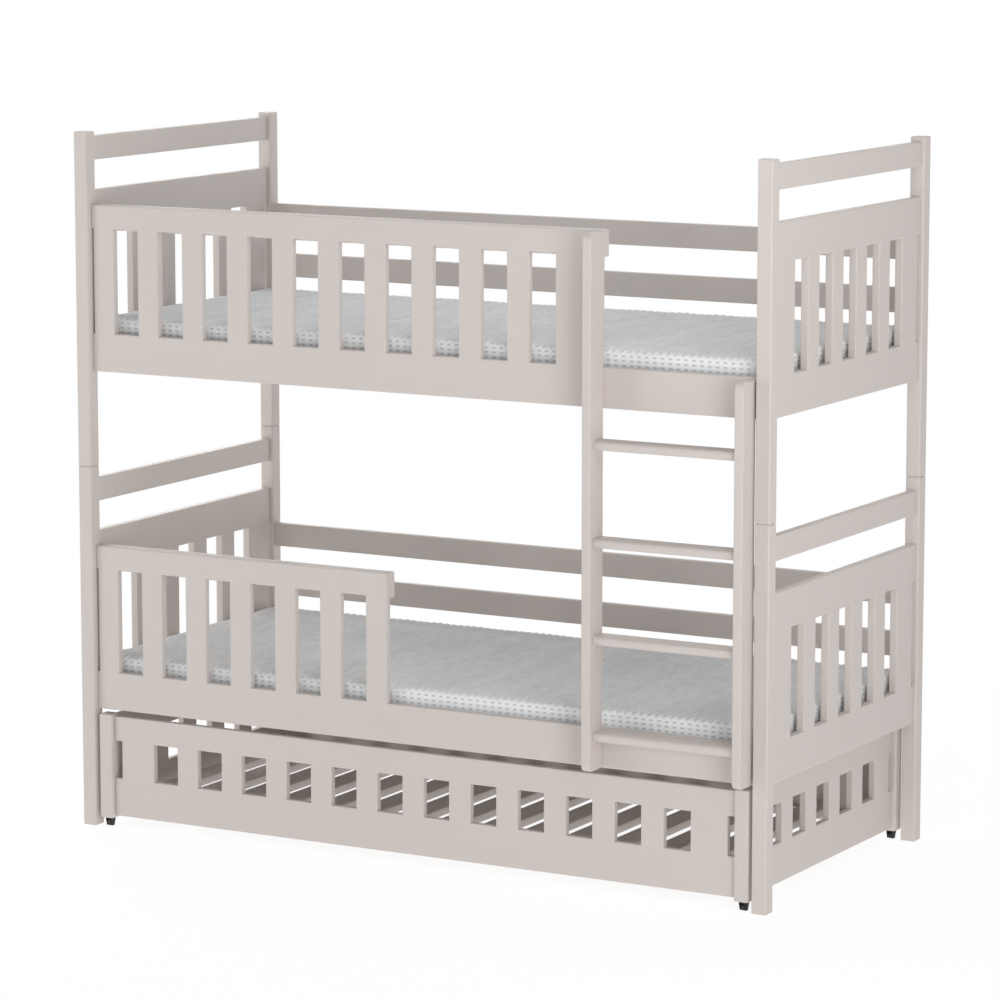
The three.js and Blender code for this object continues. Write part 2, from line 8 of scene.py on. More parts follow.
import bpy
import numpy as np
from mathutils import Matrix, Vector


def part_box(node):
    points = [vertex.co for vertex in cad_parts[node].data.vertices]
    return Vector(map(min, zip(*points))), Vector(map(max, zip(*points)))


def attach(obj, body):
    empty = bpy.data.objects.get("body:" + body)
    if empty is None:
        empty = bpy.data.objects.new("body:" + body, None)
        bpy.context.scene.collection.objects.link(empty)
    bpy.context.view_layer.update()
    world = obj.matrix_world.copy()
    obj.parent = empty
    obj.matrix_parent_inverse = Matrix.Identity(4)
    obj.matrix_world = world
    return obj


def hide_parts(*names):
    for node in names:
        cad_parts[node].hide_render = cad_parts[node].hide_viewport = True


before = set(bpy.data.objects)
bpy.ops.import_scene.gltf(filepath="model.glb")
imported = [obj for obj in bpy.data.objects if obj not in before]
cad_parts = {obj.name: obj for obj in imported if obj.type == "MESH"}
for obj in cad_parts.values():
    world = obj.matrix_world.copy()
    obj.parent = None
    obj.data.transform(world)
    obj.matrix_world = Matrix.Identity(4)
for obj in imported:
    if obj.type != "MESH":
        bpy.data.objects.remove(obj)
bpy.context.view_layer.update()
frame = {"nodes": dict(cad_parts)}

log = logging.getLogger("bunk_bed")

Colour = tuple[float, float, float, float]
Socket = bpy.types.NodeSocket

BED_MIDDLE = (0.0, 0.0, 0.85)
WHITE: Colour = (1.0, 1.0, 1.0, 1.0)
UNSTRETCHED = (1.0, 1.0, 1.0)


class Grain(Enum):
    """The way a board's grain runs, with how far a pattern is drawn out along X, Y and Z."""

    ALONG_X = (1.0, 22.0, 22.0)
    ALONG_Y = (22.0, 1.0, 22.0)
    ALONG_Z = (22.0, 22.0, 1.0)


class Recipe:
    """The nodes of a material or of the world, put together from the coordinates up to the surface."""

    def __init__(self, owner: bpy.types.Material | bpy.types.World) -> None:
        """Start with an empty node tree.

        Args:
            owner: the new material or world that the nodes belong to.
        """
        owner.use_nodes = True
        self.owner = owner
        self.tree = owner.node_tree
        self.tree.nodes.clear()

    def node(self, kind: str, **settings: object) -> bpy.types.Node:
        """Add a node and set its options.

        Args:
            kind: the node's type.
            settings: option names and values.

        Returns:
            The new node.
        """
        made = self.tree.nodes.new(kind)
        for key, value in settings.items():
            setattr(made, key, value)
        return made

    def feed(self, socket: Socket, value: object) -> None:
        """Link an output to an input, or set the input to a plain value.

        Args:
            socket: the input.
            value: another node's output, or a number or colour.
        """
        if isinstance(value, Socket):
            self.tree.links.new(value, socket)
        else:
            socket.default_value = value

    def math(self, operation: str, first: object, second: object = 0.0, clamp: bool = False) -> Socket:
        """A number worked out from one or two others.

        Args:
            operation: which sum.
            first: a socket or number.
            second: a socket or number.
            clamp: whether the result stays from 0 to 1.

        Returns:
            The socket that carries the result.
        """
        made = self.node("ShaderNodeMath", operation=operation, use_clamp=clamp)
        self.feed(made.inputs[0], first)
        self.feed(made.inputs[1], second)
        return made.outputs[0]

    def point(self, kind: str = "Object", stretch: tuple[float, float, float] = UNSTRETCHED) -> Socket:
        """The place on the piece that is being shaded.

        Args:
            kind: "Object" for metres in the bed's own frame, "UV" for the piece's own map.
            stretch: a factor along each axis.

        Returns:
            The socket that carries it.
        """
        coords = self.node("ShaderNodeTexCoord")
        mapping = self.node("ShaderNodeMapping")
        self.feed(mapping.inputs["Vector"], coords.outputs[kind])
        self.feed(mapping.inputs["Scale"], stretch)
        return mapping.outputs["Vector"]

    def attribute(self, name: str) -> Socket:
        """The number that the piece's mesh holds under a name."""
        return self.node("ShaderNodeAttribute", attribute_name=name).outputs["Fac"]

    def seen_directly(self) -> Socket:
        """Whether a ray comes from the camera, by way of a mirror or glass or not.

        Returns:
            The socket that carries 1 or 0.
        """
        path = self.node("ShaderNodeLightPath").outputs
        seen = self.math("MAXIMUM", path["Is Camera Ray"], path["Is Glossy Ray"])
        return self.math("MAXIMUM", seen, path["Is Transmission Ray"])

    def blend(self, share: Socket, first: Socket, second: Socket) -> Socket:
        """A shader between two others.

        Args:
            share: 0 for the first, 1 for the second.
            first: a shader.
            second: a shader.

        Returns:
            The socket that carries the shader.
        """
        made = self.node("ShaderNodeMixShader")
        for socket, value in zip(made.inputs, (share, first, second)):
            self.feed(socket, value)
        return made.outputs[0]

    def noise(self, point: Socket, scale: float, detail: float = 2.0, distortion: float = 0.0) -> Socket:
        """Smooth noise from 0 to 1 at a point.

        Args:
            point: where it is read.
            scale: how many swells to a unit of the point.
            detail: how many finer layers it has.
            distortion: how much it curls.

        Returns:
            The socket that carries it.
        """
        made = self.node("ShaderNodeTexNoise")
        for name, value in (("Vector", point), ("Scale", scale), ("Detail", detail), ("Distortion", distortion)):
            self.feed(made.inputs[name], value)
        return made.outputs["Fac"]

    def span(self, value: Socket, low: float, high: float, from_low: float = 0.0, from_high: float = 1.0) -> Socket:
        """Carry a number from one span to another, held at its ends.

        Args:
            value: the number.
            low: what it becomes at the span's low end.
            high: what it becomes at the high end.
            from_low: the low end.
            from_high: the high end.

        Returns:
            The socket that carries the result.
        """
        made = self.node("ShaderNodeMapRange")
        for name, number in (("From Min", from_low), ("From Max", from_high), ("To Min", low), ("To Max", high)):
            self.feed(made.inputs[name], number)
        self.feed(made.inputs["Value"], value)
        return made.outputs["Result"]

    def sum_of(self, first: Socket, second: Socket, share: float) -> Socket:
        """Two numbers added up, the first by a share and the second by the rest of 1.

        Args:
            first: a number.
            second: another number.
            share: the first one's share.

        Returns:
            The socket that carries the sum.
        """
        return self.math("ADD", self.math("MULTIPLY", first, share), self.math("MULTIPLY", second, 1 - share))

    def mix(self, share: object, first: object, second: object) -> Socket:
        """A colour between two others.

        Args:
            share: 0 for the first, 1 for the second.
            first: a socket or colour.
            second: a socket or colour.

        Returns:
            The socket that carries the colour.
        """
        made = self.node("ShaderNodeMix", data_type="RGBA")
        self.feed(made.inputs["Factor"], share)
        self.feed(made.inputs["A"], first)
        self.feed(made.inputs["B"], second)
        return made.outputs["Result"]

    def bump(self, height: Socket, depth: float, under: Socket | None = None) -> Socket:
        """A normal that shows a height as relief.

        Args:
            height: the height, from 0 to 1.
            depth: what 1 stands for, in metres.
            under: a coarser relief's normal that this one adds to.

        Returns:
            The socket that carries the normal.
        """
        made = self.node("ShaderNodeBump")
        self.feed(made.inputs["Distance"], depth)
        self.feed(made.inputs["Height"], height)
        if under is not None:
            self.feed(made.inputs["Normal"], under)
        return made.outputs["Normal"]

    def surface(self, **values: object) -> bpy.types.Material:
        """End a material's recipe with a shaded surface.

        Args:
            values: the shader's sockets by name, with underscores for spaces.

        Returns:
            The finished material.
        """
        shader = self.node("ShaderNodeBsdfPrincipled")
        for key, value in values.items():
            self.feed(shader.inputs[key.replace("_", " ")], value)
        self.feed(self.node("ShaderNodeOutputMaterial").inputs["Surface"], shader.outputs["BSDF"])
        return self.owner


def linear(red: int, green: int, blue: int) -> Colour:
    """A screen colour as the linear colour that a shader takes.

    Args:
        red: the red channel, 0 to 255.
        green: the green channel.
        blue: the blue channel.

    Returns:
        The colour, with a last channel of 1.
    """
    shares = np.array([red, green, blue]) / 255
    below = shares / 12.92
    above = ((shares + 0.055) / 1.055) ** 2.4
    return (*np.where(shares <= 0.04045, below, above).tolist(), 1.0)


def shade(colour: Colour, factor: float) -> Colour:
    """The same linear colour, lighter or darker by a factor."""
    return (*(channel * factor for channel in colour[:3]), 1.0)


@dataclass(frozen=True)
class Lacquer:
    """Opaque satin lacquer on planed pine: nearly even in colour, with the grain just raised under it."""

    name: str
    colour: Colour
    roughness: float = 0.5
    grain_depth: float = 0.00012
    grain_share: float = 0.015
    brush_depth: float = 0.00003
    specular: float = 0.35
    band_scale: float = 3.4
    fibre_scale: float = 17.0
    cloud_scale: float = 3.2
    peel_scale: float = 620.0

    def material(self, grain: Grain) -> bpy.types.Material:
        """The finish on boards whose grain runs one way.

        Args:
            grain: the way the grain runs.

        Returns:
            The material.
        """
        recipe = Recipe(bpy.data.materials.new(f"{self.name}_{grain.name.lower()}"))
        along = recipe.point(stretch=grain.value)
        plain = recipe.point()
        bands = recipe.noise(along, self.band_scale, 5.0, 0.6)
        fibres = recipe.noise(along, self.fibre_scale, 3.0)
        cloud = recipe.noise(plain, self.cloud_scale, 2.0)
        peel = recipe.noise(plain, self.peel_scale, 1.0)
        ridges = recipe.sum_of(bands, fibres, 0.65)
        share = recipe.span(recipe.sum_of(ridges, cloud, 0.6), 0.0, 1.0, 0.34, 0.66)
        dark = shade(self.colour, 1 - self.grain_share)
        light = shade(self.colour, 1 + self.grain_share)
        rough = recipe.span(ridges, self.roughness - 0.05, self.roughness + 0.06, 0.3, 0.7)
        relief = recipe.bump(ridges, self.grain_depth)
        return recipe.surface(
            Base_Color=recipe.mix(share, dark, light),
            Roughness=rough,
            Specular_IOR_Level=self.specular,
            Normal=recipe.bump(peel, self.brush_depth, relief),
        )


@dataclass(frozen=True)
class BareBeech:
    """Turned beech, with short dark flecks along the grain."""

    name: str = "bare_beech"
    dark: Colour = linear(196, 160, 120)
    light: Colour = linear(214, 184, 146)
    fleck: Colour = linear(160, 120, 84)
    roughness: float = 0.62
    band_scale: float = 12.0
    fleck_scale: float = 60.0
    grain_depth: float = 0.00015

    def material(self) -> bpy.types.Material:
        """The finish on the dowel pins, whose grain runs upright.

        Returns:
            The material.
        """
        recipe = Recipe(bpy.data.materials.new(self.name))
        along = recipe.point(stretch=Grain.ALONG_Z.value)
        bands = recipe.noise(along, self.band_scale, 4.0, 0.4)
        flecks = recipe.span(recipe.noise(along, self.fleck_scale, 1.0), 0.0, 1.0, 0.6, 0.72)
        wood = recipe.mix(bands, self.dark, self.light)
        return recipe.surface(
            Base_Color=recipe.mix(flecks, wood, self.fleck),
            Roughness=self.roughness,
            Normal=recipe.bump(bands, self.grain_depth),
        )


@dataclass(frozen=True)
class CastorPlastic:
    """Black moulded plastic with a fine spark-eroded texture and scuffs that catch the light."""

    name: str = "castor_plastic"
    colour: Colour = linear(14, 13, 13)
    scuffed: Colour = linear(58, 56, 54)
    roughness: float = 0.42
    scuffed_roughness: float = 0.7
    scuff_share: float = 0.55
    scuff_scale: float = 240.0
    pit_scale: float = 2600.0
    pit_depth: float = 0.00004

    def material(self) -> bpy.types.Material:
        """The finish on housings and wheels.

        Returns:
            The material.
        """
        recipe = Recipe(bpy.data.materials.new(self.name))
        point = recipe.point()
        pits = recipe.noise(point, self.pit_scale, 2.0)
        scuffs = recipe.span(recipe.noise(point, self.scuff_scale, 5.0, 1.5), 0.0, self.scuff_share, 0.6, 0.78)
        return recipe.surface(
            Base_Color=recipe.mix(scuffs, self.colour, self.scuffed),
            Roughness=recipe.span(scuffs, self.roughness, self.scuffed_roughness, 0.0, self.scuff_share),
            Normal=recipe.bump(pits, self.pit_depth),
        )


@dataclass(frozen=True)
class DimpledKnit:
    """A thick white knit with a grey dimple in the middle of every cell.

    It reads the piece's own UV map, which counts cells, and three attributes: "depth" says how deep the dimples are,
    "top" how far the top has painted shade in its valleys, and "crease" how much painted shade lies between two puffs
    of the rim.
    """

    name: str = "dimpled_knit"
    cell: tuple[float, float] = (0.020, 0.0115)
    dimple_share: tuple[float, float] = (0.26, 0.20)
    puff: Colour = linear(250, 252, 253)
    hollow: Colour = linear(204, 208, 212)
    # Painted shade: the greyer colour laid in the valleys between the top's ribs, in its streaks, and between the rim's
    # puffs
    valley: Colour = linear(209, 214, 219)
    roughness: float = 0.92
    specular: float = 0.2
    top_depth: float = 0.32
    wander: float = 0.06
    stitches_per_cell: tuple[float, float] = (14.0, 8.0)
    fuzz_scale: float = 900.0
    pile_depth: float = 0.00006
    pile_shade: float = 0.97
    # Rib valleys per cell, and how much painted shade lies in them and in the top's streaks
    valleys_per_cell: int = 2
    valley_painted_shade: float = 0.5
    streak_painted_shade: float = 0.45
    streak_scale: float = 2.6
    patch_scale: float = 0.4
    drawn_out: tuple[float, float, float] = (1.0, 0.09, 1.0)

    def from_middle(self, recipe: Recipe, cells: Socket, share: float) -> Socket:
        """The square of how far a point lies from its cell's middle, as a part of the dimple's half width.

        Args:
            recipe: the material's nodes.
            cells: the place, in cells along one axis.
            share: the dimple's half width, in cells.

        Returns:
            The socket that carries the square.
        """
        turns = recipe.math("FRACT", cells)
        off = recipe.math("DIVIDE", recipe.math("SUBTRACT", turns, 0.5), share)
        return recipe.math("MULTIPLY", off, off)

    def hollows(self, recipe: Recipe, across: Socket, up: Socket) -> Socket:
        """How grey the cloth is in a dimple: an ellipse in each cell's middle, which wanders a little sideways.

        Args:
            recipe: the material's nodes.
            across: cells across the cloth.
            up: cells up the cloth.

        Returns:
            The socket that carries 0 to 1.
        """
        wander = recipe.span(recipe.noise(recipe.point("UV"), 0.9, 2.0), -self.wander, self.wander)
        far = recipe.math(
            "ADD",
            self.from_middle(recipe, recipe.math("ADD", across, wander), self.dimple_share[0]),
            self.from_middle(recipe, up, self.dimple_share[1]),
        )
        return recipe.math("MULTIPLY", recipe.span(far, 1.0, 0.0, 0.1, 2.1), recipe.attribute("depth"))

    def pile(self, recipe: Recipe, across: Socket, up: Socket) -> Socket:
        """The height of the stitches: sin(2πau)·sin(2πbv) for a by b stitches to a cell, and fuzz.

        Args:
            recipe: the material's nodes.
            across: cells across the cloth.
            up: cells up the cloth.

        Returns:
            The socket that carries 0 to 1.
        """
        columns, rows = (
            recipe.math("SINE", recipe.math("MULTIPLY", cells, 2 * math.pi * count))
            for cells, count in zip((across, up), self.stitches_per_cell)
        )
        knit = recipe.span(recipe.math("MULTIPLY", columns, rows), 0.0, 1.0, -1.0, 1.0)
        return recipe.sum_of(knit, recipe.noise(recipe.point(), self.fuzz_scale, 2.0), 0.6)

    def valleys(self, recipe: Recipe, across: Socket) -> Socket:
        """How much painted shade the cloth has between its ribs and in streaks on the top, and between two puffs of the
        rim.

        On the top, 1/2 − cos(4πu)/2 and a fine noise, both drawn out along the rows of cells, the first one patchy.

        Args:
            recipe: the material's nodes.
            across: cells across the cloth.

        Returns:
            The socket that carries 0 to 1.
        """
        # Painted shade: darker in the top's rib valleys and streaks where "top" allows it, plus the painted shade
        # between the rim's puffs from "crease"
        drawn = recipe.point("UV", self.drawn_out)
        wave = recipe.math("COSINE", recipe.math("MULTIPLY", across, 2 * math.pi * self.valleys_per_cell))
        patchy = recipe.span(recipe.noise(drawn, self.patch_scale, 2.0), 0.1, 1.0, 0.35, 0.65)
        painted_streaks = recipe.span(recipe.noise(drawn, self.streak_scale, 3.0), 0.0, 1.0, 0.35, 0.68)
        rows = recipe.math("MULTIPLY", recipe.span(wave, self.valley_painted_shade, 0.0, -1.0, 1.0), patchy)
        valley = recipe.math("ADD", rows, recipe.math("MULTIPLY", painted_streaks, self.streak_painted_shade))
        valley = recipe.math("MULTIPLY", valley, recipe.attribute("top"))
        return recipe.math("ADD", valley, recipe.attribute("crease"), clamp=True)

    def material(self) -> bpy.types.Material:
        """The finish on a mattress cover: white stitches, painted shade in valleys over them, and grey dimples over
        both.

        Returns:
            The material.
        """
        recipe = Recipe(bpy.data.materials.new(self.name))
        apart = recipe.node("ShaderNodeSeparateXYZ")
        recipe.feed(apart.inputs[0], recipe.point("UV"))
        across, up = apart.outputs[0], apart.outputs[1]
        pile = self.pile(recipe, across, up)
        cloth = recipe.mix(pile, shade(self.puff, self.pile_shade), self.puff)
        # The painted shade is laid over the stitches
        cloth = recipe.mix(self.valleys(recipe, across), cloth, self.valley)
        return recipe.surface(
            Base_Color=recipe.mix(self.hollows(recipe, across, up), cloth, self.hollow),
            Roughness=self.roughness,
            Specular_IOR_Level=self.specular,
            Normal=recipe.bump(pile, self.pile_depth),
        )


def mesh_piece(name: str, points: np.ndarray, faces: np.ndarray, smooth: bool = True) -> bpy.types.Object:
    """Make an object of a mesh of four-sided faces.

    Args:
        name: the piece's name.
        points: the vertices, three columns in metres.
        faces: the faces, four columns of vertex numbers.
        smooth: whether it is shaded smooth.

    Returns:
        The object, at the origin.
    """
    mesh = bpy.data.meshes.new(name)
    mesh.vertices.add(len(points))
    mesh.vertices.foreach_set("co", points.astype(np.float32).ravel())
    mesh.loops.add(faces.size)
    mesh.loops.foreach_set("vertex_index", faces.astype(np.int32).ravel())
    mesh.polygons.add(len(faces))
    mesh.polygons.foreach_set("loop_start", np.arange(0, faces.size, faces.shape[1], dtype=np.int32))
    mesh.polygons.foreach_set("use_smooth", np.full(len(faces), smooth))
    mesh.update(calc_edges=True)
    mesh.validate()
    made = bpy.data.objects.new(name, mesh)
    bpy.context.scene.collection.objects.link(made)
    return made


@dataclass(frozen=True)
class Crease:
    """A shallow fold in the top sheet.

    Its fields are the middle, the turn in radians, the length, width and depth in metres, and how much it bows.
    """

    middle: tuple[float, float]
    turn: float
    length: float
    width: float
    depth: float
    bow: float = 0.25

    def sink(self, flat: np.ndarray) -> np.ndarray:
        """How far the fold sinks the sheet: a bell across it, times a bell along it, bent a little as a bow.

        Args:
            flat: points of the sheet about the mattress's middle, in metres.

        Returns:
            The drop at each point.
        """
        away = flat - np.array(self.middle)
        along = away[..., 0] * math.cos(self.turn) + away[..., 1] * math.sin(self.turn)
        across = away[..., 1] * math.cos(self.turn) - away[..., 0] * math.sin(self.turn)
        across = across + self.bow * along ** 2 / self.length
        return self.depth * np.exp(-(across / self.width) ** 2 - (along / self.length) ** 2)


@dataclass
class Shell:
    """The skin of a mattress as one closed grid, in metres.

    A top sheet of columns and rows, rings that go down the border from the sheet's rim, and a point in the middle of
    the underside.
    """

    half: np.ndarray
    corner: float
    edge: float
    height: float
    waist: float
    columns: int
    rows: int
    rings: int

    def sheet(self) -> np.ndarray:
        """The top sheet's points about the mattress's middle: an even grid whose four corners are drawn in to rounds.

        In a corner's square, with shares p and q from 0 to 1, the point goes to (p√(1 − q²/2), q√(1 − p²/2)) of the
        corner's radius, which carries the square's rim to the arc.

        Returns:
            An array of columns by rows by two.
        """
        x = np.linspace(-self.half[0], self.half[0], self.columns + 1)
        y = np.linspace(-self.half[1], self.half[1], self.rows + 1)
        flat = np.stack(np.meshgrid(x, y, indexing="ij"), axis=-1)
        core = self.half - self.corner
        share = np.clip((np.abs(flat) - core) / self.corner, 0, 1)
        drawn = share * np.sqrt(1 - share[..., ::-1] ** 2 / 2)
        in_corner = (share > 0).all(axis=-1, keepdims=True)
        turned = np.sign(flat) * (core + drawn * self.corner)
        return np.where(in_corner, turned, flat)

    def rim(self) -> np.ndarray:
        """Numbers of the sheet's outer points, counter-clockwise from its low corner."""
        number = np.arange((self.columns + 1) * (self.rows + 1)).reshape(self.columns + 1, self.rows + 1)
        return np.concatenate([number[:-1, 0], number[-1, :-1], number[:0:-1, -1], number[0, :0:-1]])

    def rim_points(self) -> np.ndarray:
        """The sheet's outer points, in the order of their numbers."""
        return self.sheet().reshape(-1, 2)[self.rim()]

    def outward(self) -> np.ndarray:
        """The way out of the mattress at the rim: from the nearest point of the sheet less its corners' radius.

        Returns:
            A way of length one at each point of the rim.
        """
        edge_points = self.rim_points()
        away = edge_points - np.clip(edge_points, self.corner - self.half, self.half - self.corner)
        return away / np.linalg.norm(away, axis=1, keepdims=True)

    def around(self) -> np.ndarray:
        """How long the way round the rim is, added up from point to point.

        Returns:
            The length up to each point of the rim, and the whole length last.
        """
        edge_points = self.rim_points()
        run = np.linalg.norm(np.diff(edge_points, axis=0, append=edge_points[:1]), axis=1)
        return np.concatenate([[0], np.cumsum(run)])

    def profile(self) -> np.ndarray:
        """How the border goes down from the rim, ring by ring, at even lengths.

        A quarter round, a side drawn in to a waist by a half sine, and a quarter round below.

        Returns:
            Rows of outward step, height above the foot, and length down the border.
        """
        quarter_points, side_points = 40, 80
        quarter = np.linspace(0, math.pi / 2, quarter_points)
        share = np.linspace(0, 1, side_points)[1:-1]
        side_height = self.height - 2 * self.edge
        over = np.stack([self.edge * np.sin(quarter), self.height - self.edge * (1 - np.cos(quarter))], axis=1)
        side = np.stack([self.edge - self.waist * np.sin(math.pi * share),
                         self.height - self.edge - side_height * share], axis=1)
        under = np.stack([self.edge * np.cos(quarter), self.edge * (1 - np.sin(quarter))], axis=1)
        line = np.concatenate([over, side, under])
        length = np.concatenate([[0], np.cumsum(np.linalg.norm(np.diff(line, axis=0), axis=1))])
        even = np.linspace(0, length[-1], self.rings + 1)
        return np.column_stack([np.interp(even, length, line[:, 0]), np.interp(even, length, line[:, 1]), even])

    def points(self, sheet_drop: np.ndarray | float = 0.0, border_drop: np.ndarray | float = 0.0,
               border_lift: np.ndarray | float = 0.0) -> np.ndarray:
        """Every point of the skin about the middle of the foot.

        Args:
            sheet_drop: how far each point of the sheet sinks.
            border_drop: how far each point of the rings sinks in.
            border_lift: how far each point of the rings rises.

        Returns:
            Rows of three: the sheet, the rings, and the middle of the underside.
        """
        flat = self.sheet()
        level = np.broadcast_to(self.height - sheet_drop, flat.shape[:2])
        top = np.concatenate([flat, level[..., None]], axis=-1).reshape(-1, 3)
        profile = self.profile()[1:]
        reach = np.broadcast_to(profile[:, :1] - border_drop, (self.rings, len(self.rim())))
        out = self.rim_points()[None] + self.outward()[None] * reach[..., None]
        level = np.broadcast_to(profile[:, 1, None] + border_lift, reach.shape)[..., None]
        border = np.concatenate([out, level], axis=-1).reshape(-1, 3)
        return np.concatenate([top, border, np.zeros((1, 3))])

    def nearest_on_rim(self, rim_values: np.ndarray) -> np.ndarray:
        """Give each point of the sheet the value of the rim's point on the side that it lies nearest to.

        Args:
            rim_values: a value at each point of the rim, with the first one's value after a whole round last.

        Returns:
            An array of columns by rows.
        """
        front, right, rear, left = np.split(
            np.arange(2 * (self.columns + self.rows)), np.cumsum([self.columns, self.rows, self.columns])
        )
        sides = (
            rim_values[np.append(front, front[-1] + 1)][:, None],
            rim_values[np.append(right, right[-1] + 1)][None],
            rim_values[np.append(rear, rear[-1] + 1)][::-1, None],
            rim_values[np.append(left, left[-1] + 1)][None, ::-1],
        )
        flat = self.sheet()
        gaps = np.stack([self.half[1] + flat[..., 1], self.half[0] - flat[..., 0],
                         self.half[1] - flat[..., 1], self.half[0] + flat[..., 0]])
        spread = np.stack([np.broadcast_to(side, flat.shape[:2]) for side in sides])
        return np.take_along_axis(spread, gaps.argmin(axis=0)[None], axis=0)[0]

    def faces(self) -> tuple[np.ndarray, np.ndarray, np.ndarray]:
        """The skin's four-sided faces.

        Returns:
            Those of the sheet, of the border, and of the underside, where two steps of the last ring share a face.
        """
        number = np.arange((self.columns + 1) * (self.rows + 1)).reshape(self.columns + 1, self.rows + 1)
        sheet = np.stack([number[:-1, :-1], number[1:, :-1], number[1:, 1:], number[:-1, 1:]], axis=-1)
        rim = self.rim()
        below = number.size + np.arange(self.rings * len(rim)).reshape(self.rings, len(rim))
        ring = np.concatenate([rim[None], below])
        turn = np.roll(ring, -1, axis=1)
        border = np.stack([ring[:-1], ring[1:], turn[1:], turn[:-1]], axis=-1)
        last = ring[-1]
        centre = np.full(len(last) // 2, number.size + below.size)
        under = np.stack([last[0::2], centre, np.roll(last, -2)[0::2], last[1::2]], axis=-1)
        return sheet.reshape(-1, 4), border.reshape(-1, 4), under


